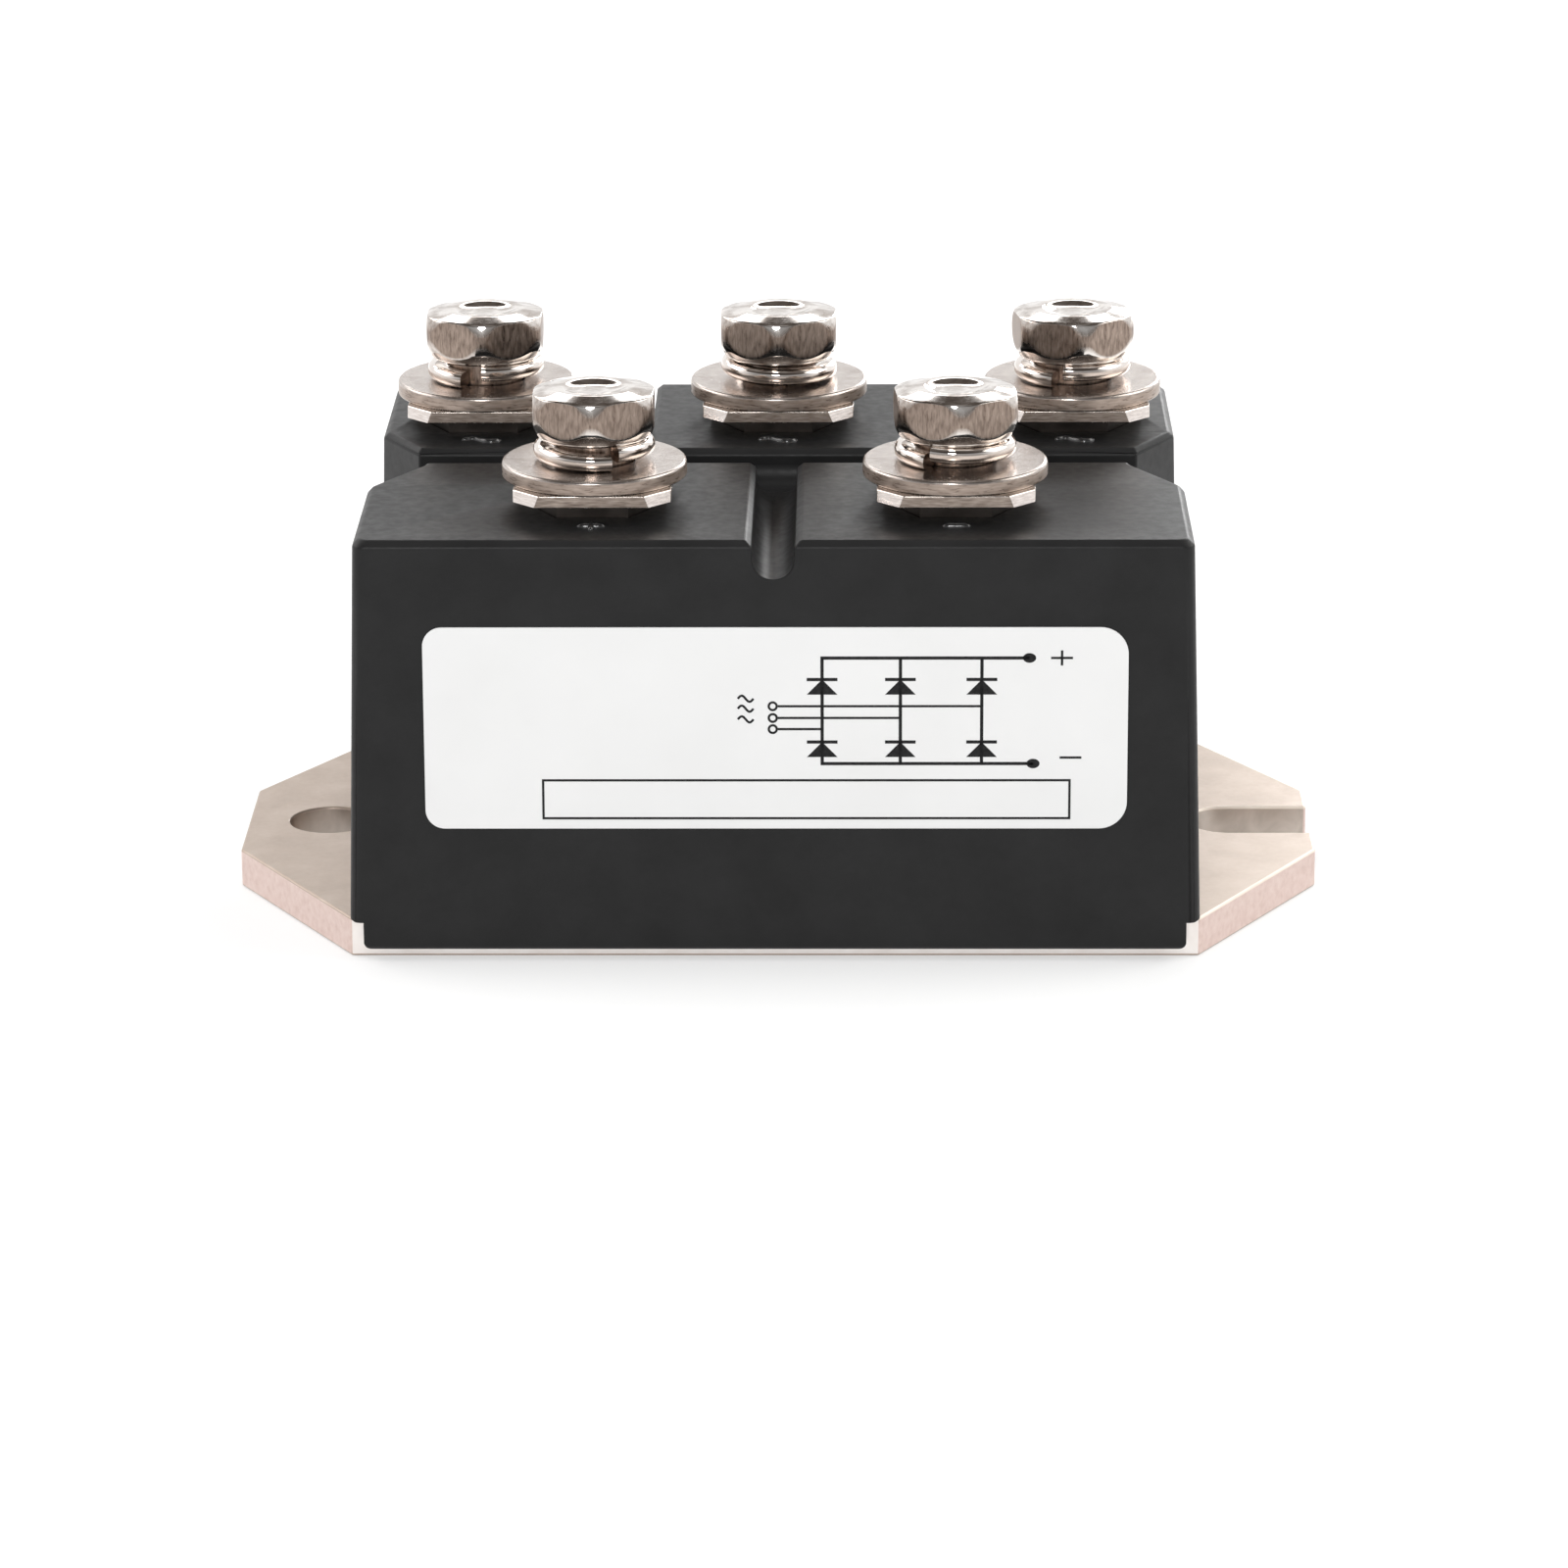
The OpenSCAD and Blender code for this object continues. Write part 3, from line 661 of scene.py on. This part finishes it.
# Wall of the dish, as distances from its rim and shares of its depth
DISH_WALL = ((-1.3, 1), (-0.9, 0.96), (-0.6, 0.82), (-0.3, 0.52), (-0.1, 0.24), (0.08, 0.06), (0.25, 0))
# Fillet under the head and bevel at the end, as distances from the side of the shank and heights
FILLET = ((0.15, 0), (0.04, -0.05), (0, -0.16))
END_BEVEL = ((0, 0.75), (-0.6, 0.08), (-0.7, 0))


def hexagon(angle):
    """Reach of a hexagon with a corner at -90 degrees, its corners slightly rounded."""
    step = math.pi / 3
    turn = (angle + math.pi / 2) % step
    near = HEX_AF / 2 / math.cos(turn - step / 2)
    other = HEX_AF / 2 / math.cos(min(turn, step - turn) + step / 2)
    return soft_least(near, other, HEX_SOFT)


def screw_profile():
    """Outline of a screw from the middle of its dished top down to its end."""
    h = HEAD_TOP - HEAD_Z
    flat_r = HEX_AF / 2
    top_r, slope = flat_r - TOP_INSET, HEAD_BEVEL / TOP_INSET
    round_at, round_z = flat_r + CORNER_RISE - CORNER_ROUND, h / 2 + CORNER_SHIFT
    outline = [(0, h - DISH_DEPTH)]
    outline += [(DISH_R + r, h - DISH_DEPTH * depth) for r, depth in DISH_WALL]
    heights = [h - FINE_STEP * i for i in range(FINE_STEPS)]
    heights += [heights[-1] * (1 - i / COARSE_STEPS) for i in range(1, COARSE_STEPS + 1)]
    for z in heights:
        bevel = top_r + (h - z) / slope
        corner = round_at + math.sqrt(CORNER_ROUND ** 2 - (z - round_z) ** 2)
        outline.append((soft_least(bevel, corner, HEAD_SOFT), z))
    shank, bottom = SCREW_D / 2, SCREW_END - HEAD_Z
    outline += [(shank + r, z) for r, z in FILLET]
    outline += [(shank + r, bottom + z) for r, z in END_BEVEL]
    return outline + [(0, bottom)]


SCREW = mesh_of("screw", *lathe(screw_profile(), HEAD_SEGMENTS, hexagon))


# Flat washers

WASHER_SEGMENTS = 160
WASHER_PLAY = 0.15
WASHER_RIM, WASHER_FOOT = 0.24, 0.1
RIM_STEPS, FOOT_STEPS = 6, 4
BORE_TOP, BORE_FOOT = 0.12, 0.05
SHEAR_Z, SHEAR_IN = 0.35, 0.005


def washer_profile():
    """Outline of a punched washer: rounded upper rim, slight burr side below."""
    outer, inner, thick = WASHER_D / 2, SCREW_D / 2 + WASHER_PLAY, SPRING_Z - TAB_TOP
    outline = [(inner + BORE_TOP, thick)]
    outline += arc(outer - WASHER_RIM, thick - WASHER_RIM, WASHER_RIM, 90, 0, RIM_STEPS)
    outline.append((outer - SHEAR_IN, SHEAR_Z))
    outline += arc(outer - WASHER_FOOT, WASHER_FOOT, WASHER_FOOT, 0, -90, FOOT_STEPS)
    return outline + [(inner + BORE_FOOT, 0), (inner, BORE_FOOT), (inner, thick - BORE_TOP)]


WASHER = mesh_of("washer", *lathe(washer_profile(), WASHER_SEGMENTS))


# Spring washers

SPRING_D, SPRING_T, SPRING_W, SPRING_RISE = 7.9, 1.05, 1.4, 0.55
SPRING_ROUND, OUTER_STEPS, INNER_STEPS = 0.44, 7, 3
SPRING_STEPS = 150


def spring_section():
    """Section of the spring wire as (distance from the axis, height), rounded at its corners."""
    r = SPRING_ROUND
    outer, inner, top = SPRING_D / 2 - r, SPRING_D / 2 - SPRING_W + r, SPRING_T - r
    points = arc(outer, top, r, 90, 0, OUTER_STEPS)
    points += arc(outer, r, r, 0, -90, OUTER_STEPS)
    points += arc(inner, r, r, -90, -180, INNER_STEPS)
    return points + arc(inner, top, r, 180, 90, INNER_STEPS)


def spring_mesh(gap):
    """One turn of the spring wire, from its raised end to its low end, with a gap in degrees."""
    section = spring_section()
    vertices = []
    for i in range(SPRING_STEPS + 1):
        share = i / SPRING_STEPS
        a = math.radians(gap / 2 - 90 + share * (360 - gap))
        for r, z in section:
            lift = z + SPRING_RISE * (1 - share)
            vertices.append((r * math.cos(a) * MM, r * math.sin(a) * MM, lift * MM))
    return mesh_of("spring", vertices, swept(len(section), SPRING_STEPS))


# The hardware on its terminals: turns of the heads and of the gaps, and width of the gaps, in degrees

HEAD_TURN = [0, 0, 10, 0, 5]
GAP_TURN = [-12, 180, -17, 23, -29]
SPRING_GAP = [22, 16, 12, 7, 7]


def standing(s, z, turn=0.0):
    """Place of a piece on a screw's axis, turned by degrees."""
    return Matrix.Translation(Vector((s.x, s.y, z)) * MM) @ Matrix.Rotation(math.radians(turn), 4, "Z")


for tag, s, head_turn, gap, gap_turn in zip(TAGS, SCREWS, HEAD_TURN, SPRING_GAP, GAP_TURN):
    spring = spring_mesh(gap)
    hardware = (
        ("screw_", SCREW.copy(), SCREW_METAL, "terminal_screws", standing(s, HEAD_Z, head_turn)),
        ("flat_washer_", WASHER.copy(), WASHER_METAL, "flat_washers", standing(s, TAB_TOP)),
        ("spring_washer_", spring, SPRING_METAL, "spring_washers", standing(s, SPRING_Z, gap_turn)),
    )
    for kind, mesh, metal, node, place in hardware:
        smooth(piece(kind + tag, mesh, "hardware_nickel", metal, node=node, at=place))


# Signs raised on the pads in front of the tabs

SIGN_Y = -6.2
SIGN_WIDTH, SIGN_HEIGHT = 0.46, 0.28
SIGN_HALF = 0.9
SIGN_END_STEPS, SIGN_TIP = 3, 0.08
WAVE_STEPS, STROKE_STEPS = 28, 12
# Section of a ridge, as shares of its width and height
RIDGE = ((-0.5, -0.3), (-0.46, 0.25), (-0.3, 0.75), (0, 1), (0.3, 0.75), (0.46, 0.25), (0.5, -0.3))


def ridge(points):
    """A low rounded ridge along a line of points on a plane, with rounded ends."""
    vertices = []
    last = len(points) - 1
    for i, p in enumerate(points):
        along = along_at(points, i)
        side = Vector((-along.y, along.x))
        near_end = min(i, last - i) / SIGN_END_STEPS
        scale = 1 if near_end >= 1 else math.sqrt(max(SIGN_TIP, 1 - (1 - near_end) ** 2))
        for u, v in RIDGE:
            lift = v if v < 0 else v * scale
            q = p + side * (u * SIGN_WIDTH * scale)
            vertices.append((q.x * MM, q.y * MM, lift * SIGN_HEIGHT * MM))
    return vertices, swept(len(RIDGE), last)


def wave(length, swing):
    """Points of one flat wave."""
    share = [i / WAVE_STEPS for i in range(WAVE_STEPS + 1)]
    return [Vector(((t - 0.5) * length, swing * math.sin(2 * math.pi * t))) for t in share]


def stroke(x, y):
    """Points of one straight stroke through the middle, to (x, y) from the opposite point."""
    end = Vector((x, y))
    return [(-end).lerp(end, i / STROKE_STEPS) for i in range(STROKE_STEPS + 1)]


SIGNS = {
    "phase": [wave(length=2.6, swing=0.42)],
    "plus": [stroke(SIGN_HALF, 0), stroke(0, SIGN_HALF)],
    "minus": [stroke(SIGN_HALF, 0)],
}

for tag, s in zip(TAGS, SCREWS):
    place = standing(Vector((s.x, s.y + SIGN_Y)), PAD_Z)
    for number, points in enumerate(SIGNS[tag.split("_")[0]], 1):
        name = "sign_{}_{}".format(tag, number)
        smooth(piece(name, mesh_of(name, *ridge(points)), "housing_plastic", SIGN_BLACK, at=place))


# Label

DRAFT = math.radians(1.6)
LABEL_T, LABEL_SOFT = 0.15, 0.03
LABEL_R, LABEL_RIGHT_R = 1.25, 1.8
LABEL_LEFT_IN, LABEL_FOOT_IN = 0.23, 0.22
LABEL_LOW, LABEL_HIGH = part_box("label")
FACE_OUT = Vector((0, -math.cos(DRAFT), math.sin(DRAFT)))
FACE_UP = Vector((0, math.sin(DRAFT), math.cos(DRAFT)))
FACE_TURN = Matrix((Vector((1, 0, 0)), FACE_UP, FACE_OUT)).transposed().to_4x4()
FACE_MIDDLE = (LABEL_LOW + LABEL_HIGH) / 2 + FACE_OUT * LABEL_T / 2 * MM
LABEL_FACE = Matrix.Translation(FACE_MIDDLE) @ FACE_TURN


def trim_label(mesh):
    """Rounds the label's right corners further and draws in its left and lower edges."""
    to_face = LABEL_FACE.inverted()
    places = [to_face @ vertex.co / MM for vertex in mesh.vertices]
    end, top = max(p.x for p in places), max(p.y for p in places)
    for vertex, p in zip(mesh.vertices, places):
        side = math.copysign(1, p.y)
        out = Vector((p.x - end + LABEL_R, abs(p.y) - top + LABEL_R))
        if min(out) > -NEAR:
            out *= LABEL_RIGHT_R / LABEL_R
            p.x, p.y = end - LABEL_RIGHT_R + out.x, side * (top - LABEL_RIGHT_R + out.y)
        if p.x < 0:
            p.x += LABEL_LEFT_IN
        if p.y < 0:
            p.y += LABEL_FOOT_IN
        vertex.co = LABEL_FACE @ (p * MM)


label_mesh = softened("label", "label_sheet", LABEL_SOFT, segments=2)
trim_label(label_mesh)
smooth(piece("label_sheet", label_mesh, "label_film", FILM, node="label"))


# Print on the label, in millimetres from the middle of its face

INK_T, INK_SUNK = 0.012, 0.004
LINE_W, FINE_W = 0.21, 0.15
CIRCLE_STEPS = 32
COLUMNS = [3.1, 8.1, 13.3]
PLUS_Y, MINUS_Y = 4.79, -2.22
PLUS_END, MINUS_END = 16.33, 16.6
DOT_R, DOT_SQUEEZE = 0.42, 0.75
UPPER_BAR, LOWER_BAR = 3.37, -0.78
DIODE_H, DIODE_HALF = 1.0, 0.98
PHASE_X, PHASE_Y = -0.06, [1.6, 0.82, 0.08]
PHASE_R = 0.33
WAVE_X, WAVE_Y = -1.79, [2.1, 1.44, 0.73]
WAVE_L, WAVE_SWING = 1.0, 0.2
PLUS_LEFT, PLUS_RIGHT, PLUS_MIDDLE, PLUS_HALF = 17.7, 19.1, 18.4, 0.5
MINUS_LEFT, MINUS_RIGHT, MINUS_LIFT = 18.3, 19.7, 0.4
TYPE_BOX = (-14.9, -5.95), (19.03, -3.26)


def circle(at, r, squeeze=1.0):
    """Points round a circle."""
    turn = [2 * math.pi * i / CIRCLE_STEPS for i in range(CIRCLE_STEPS)]
    return [(at[0] + r * math.cos(a), at[1] + r * squeeze * math.sin(a)) for a in turn]


def rectangle(low, high, inset):
    """Corners of a box drawn in by inset."""
    x0, y0 = (value + inset for value in low)
    x1, y1 = (value - inset for value in high)
    return [(x0, y0), (x1, y0), (x1, y1), (x0, y1)]


class Print:
    """Flat printed shapes on the label, gathered into one mesh."""

    def __init__(self):
        self.vertices, self.faces = [], []

    def area(self, outline, hole=None):
        """A filled outline, or the band between an outline and a hole with as many points."""
        base, n = len(self.vertices), len(outline)
        rings = [outline] if hole is None else [outline, hole]
        for z in (-INK_SUNK, INK_T):
            for ring in rings:
                self.vertices += [(x * MM, y * MM, z * MM) for x, y in ring]
        step = n * len(rings)
        for k in range(len(rings)):
            low, high = base + k * n, base + step + k * n
            for i in range(n):
                j = (i + 1) % n
                self.faces.append((low + i, low + j, high + j, high + i))
        for first in (base, base + step):
            if hole is None:
                self.faces.append(tuple(first + i for i in range(n)))
            else:
                for i in range(n):
                    j = (i + 1) % n
                    self.faces.append((first + i, first + j, first + n + j, first + n + i))

    def line(self, a, b, width=LINE_W):
        """A straight line with square ends."""
        a, b = Vector(a), Vector(b)
        side = (b - a).orthogonal().normalized() * width / 2
        self.area([tuple(p) for p in (a + side, b + side, b - side, a - side)])

    def path(self, points, width):
        """A line of even width through several points."""
        left, right = [], []
        for i, p in enumerate(points):
            along = along_at(points, i)
            side = Vector((-along.y, along.x)) * width / 2
            left.append(tuple(p + side))
            right.append(tuple(p - side))
        self.area(left + right[::-1])


def circuit(ink):
    """The general circuit sign of a three-phase bridge."""
    for end in ((PLUS_END, PLUS_Y), (MINUS_END, MINUS_Y)):
        ink.line((COLUMNS[0] - LINE_W / 2, end[1]), end)
        ink.area(circle(end, DOT_R, DOT_SQUEEZE))
    for x in COLUMNS:
        ink.line((x, PLUS_Y), (x, MINUS_Y))
        for bar in (UPPER_BAR, LOWER_BAR):
            ink.line((x - DIODE_HALF, bar), (x + DIODE_HALF, bar))
            ink.area([(x, bar), (x - DIODE_HALF, bar - DIODE_H), (x + DIODE_HALF, bar - DIODE_H)])
    for x, y in zip(reversed(COLUMNS), PHASE_Y):
        ink.line((PHASE_X + PHASE_R, y), (x, y), FINE_W)
        ink.area(circle((PHASE_X, y), PHASE_R), circle((PHASE_X, y), PHASE_R - FINE_W))
    for y in WAVE_Y:
        ink.path([p + Vector((WAVE_X, y)) for p in wave(WAVE_L, WAVE_SWING)], FINE_W)
    ink.line((PLUS_LEFT, PLUS_Y), (PLUS_RIGHT, PLUS_Y), FINE_W)
    ink.line((PLUS_MIDDLE, PLUS_Y - PLUS_HALF), (PLUS_MIDDLE, PLUS_Y + PLUS_HALF), FINE_W)
    ink.line((MINUS_LEFT, MINUS_Y + MINUS_LIFT), (MINUS_RIGHT, MINUS_Y + MINUS_LIFT), FINE_W)


ink = Print()
circuit(ink)
ink.area(rectangle(*TYPE_BOX, 0), rectangle(*TYPE_BOX, FINE_W))
piece("label_print", mesh_of("label_print", ink.vertices, ink.faces), "label_ink", INK, at=LABEL_FACE)


# Every CAD node takes the material of its slot, and those that aren't replaced show it

SLOT_OF = {row["node"]: row["material_slot"] for row in frame["record"]["subparts"]}
for node, ob in frame["nodes"].items():
    ob.data.materials.clear()
    ob.data.materials.append(SLOT_MATERIAL[SLOT_OF[node]])


# Camera, fitted to the photograph: place in metres, angles in degrees, focal length in pixels

PHOTO_PX, FOCAL_PX, SENSOR_MM = 1600, 6083, 36.0
CAMERA_AT = Vector((0.005486, -0.384746, 0.130681))
CAMERA_PITCH, CAMERA_YAW, CAMERA_ROLL = 18.07, -0.763, 0.255
CLIP_NEAR, CLIP_FAR = 0.01, 20


def aim_camera():
    """Puts the camera where the photograph was taken from."""
    pitch, yaw, roll = (math.radians(a) for a in (CAMERA_PITCH, CAMERA_YAW, CAMERA_ROLL))
    ahead = Vector((math.sin(yaw) * math.cos(pitch), math.cos(yaw) * math.cos(pitch), -math.sin(pitch)))
    level = Vector((math.cos(yaw), -math.sin(yaw), 0))
    down = ahead.cross(level)
    right = level * math.cos(roll) + down * math.sin(roll)
    up = level * math.sin(roll) - down * math.cos(roll)
    camera = bpy.data.cameras.new("camera")
    camera.sensor_width = SENSOR_MM
    camera.lens = FOCAL_PX / PHOTO_PX * SENSOR_MM
    camera.clip_start, camera.clip_end = CLIP_NEAR, CLIP_FAR
    ob = bpy.data.objects.new("camera", camera)
    turn = Matrix((right, up, -ahead)).transposed().to_4x4()
    ob.matrix_world = Matrix.Translation(CAMERA_AT) @ turn
    bpy.context.scene.collection.objects.link(ob)
    bpy.context.scene.camera = ob


aim_camera()


# Studio, in metres

AMBIENT = 0.78
CEILING, OVERHEAD = (0.12, 0.105, 0.095), (0.80, 0.79, 0.78)
# Colour of the room by the upward share of a direction
ROOM = [(0.525, WHITE), (0.575, CEILING), (0.95, CEILING), (0.99, OVERHEAD)]
# The camera's side of the room is dimmer: between which Y of a direction it fades, and its level
FRONT_WALL, FRONT_LEVEL = (-0.60, -0.20), 0.35
FLOOR_SIZE, FLOOR_DROP = 6.0, 0.00002
FLOOR_GREY, FLOOR_GLOW = (0.62, 0.62, 0.62, 1), 0.40
LIT_POINT = Vector((0, 0, 0.018))
# Name, place, size, brightness where 1 is that of the walls, tint and shape of each lamp
LAMPS = [
    ("left", (-0.52, 0.20, 0.42), (0.50, 0.36), 2.6, (1.0, 0.965, 0.95), "RECTANGLE"),
    ("right", (0.54, 0.11, 0.45), (0.50, 0.40), 2.8, (1.0, 0.99, 0.95), "RECTANGLE"),
    ("back", (0.0, 0.6235, 0.389), (0.80, 0.10), 2.6, WHITE, "RECTANGLE"),
    ("rim", (0.24, 0.62, 0.20), (0.30, 0.16), 7.0, WHITE, "RECTANGLE"),
    ("front", (-0.06, -0.68, 0.40), (0.18, 0.22), 15.0, WHITE, "ELLIPSE"),
]


def seen_directly(tree):
    """1 for rays that show the background: straight from the camera, or by gloss or glass."""
    ray = tree.nodes.new("ShaderNodeLightPath").outputs
    straight_or_gloss = calculation(tree, "MAXIMUM", ray["Is Camera Ray"], ray["Is Glossy Ray"])
    return calculation(tree, "MAXIMUM", straight_or_gloss, ray["Is Transmission Ray"])


def background(tree, colour, strength):
    """A background shader of the world."""
    node = tree.nodes.new("ShaderNodeBackground")
    put(tree, colour, node.inputs["Color"])
    node.inputs["Strength"].default_value = strength
    return node.outputs[0]


def studio_world():
    """White walls where they are seen, dim overhead and at the camera's side, and an even soft light."""
    world = bpy.data.worlds.new("studio")
    world.use_nodes = True
    tree = world.node_tree
    tree.nodes.clear()
    way = tree.nodes.new("ShaderNodeSeparateXYZ")
    put(tree, tree.nodes.new("ShaderNodeTexCoord").outputs["Generated"], way.inputs["Vector"])
    dimmed = tree.nodes.new("ShaderNodeVectorMath")
    dimmed.operation = "SCALE"
    put(tree, ramp(tree, way.outputs["Z"], ROOM), dimmed.inputs[0])
    side = carried_over(tree, way.outputs["Y"], *FRONT_WALL, FRONT_LEVEL, 1)
    put(tree, side, dimmed.inputs["Scale"])
    from_camera = tree.nodes.new("ShaderNodeLightPath").outputs["Is Camera Ray"]
    shown = mixed(tree, from_camera, dimmed.outputs[0], (*WHITE, 1))
    mix = tree.nodes.new("ShaderNodeMixShader")
    shaders = background(tree, (*WHITE, 1), AMBIENT), background(tree, shown, 1.0)
    for value, socket in zip((seen_directly(tree), *shaders), mix.inputs):
        put(tree, value, socket)
    out = tree.nodes.new("ShaderNodeOutputWorld")
    put(tree, mix.outputs[0], out.inputs["Surface"])
    bpy.context.scene.world = world


def floor_white():
    """White paper that glows a little where it is seen, so that it is white there."""
    material = bpy.data.materials.new("floor_white")
    material.use_nodes = True
    tree = material.node_tree
    tree.nodes.clear()
    paper = tree.nodes.new("ShaderNodeBsdfDiffuse")
    paper.inputs["Color"].default_value = FLOOR_GREY
    glow = tree.nodes.new("ShaderNodeEmission")
    put(tree, calculation(tree, "MULTIPLY", seen_directly(tree), FLOOR_GLOW), glow.inputs["Strength"])
    add = tree.nodes.new("ShaderNodeAddShader")
    for shader, socket in zip((paper, glow), add.inputs):
        put(tree, shader.outputs[0], socket)
    out = tree.nodes.new("ShaderNodeOutputMaterial")
    put(tree, add.outputs[0], out.inputs["Surface"])
    return material


def studio_floor():
    """A floor that keeps the part's shadow."""
    mesh = bpy.data.meshes.new("floor")
    h = FLOOR_SIZE / 2
    mesh.from_pydata([(-h, -h, 0), (h, -h, 0), (h, h, 0), (-h, h, 0)], [], [(0, 1, 2, 3)])
    mesh.materials.append(floor_white())
    floor = bpy.data.objects.new("floor", mesh)
    floor.location.z = -FLOOR_DROP
    bpy.context.scene.collection.objects.link(floor)


def softbox(name, at, size, brightness, tint, shape):
    """A soft light aimed at the middle of the part."""
    lamp = bpy.data.lights.new(name, "AREA")
    lamp.shape = shape
    lamp.size, lamp.size_y = size
    area = size[0] * size[1] * (1 if shape == "RECTANGLE" else math.pi / 4)
    lamp.energy = brightness * math.pi * area
    lamp.color = tint
    ob = bpy.data.objects.new(name, lamp)
    ob.location = at
    ob.rotation_mode = "QUATERNION"
    ob.rotation_quaternion = (LIT_POINT - ob.location).to_track_quat("-Z", "Y")
    ob.visible_camera = False
    bpy.context.scene.collection.objects.link(ob)


studio_world()
studio_floor()
for lamp in LAMPS:
    softbox(*lamp)

bpy.context.scene.view_settings.view_transform = "Standard"
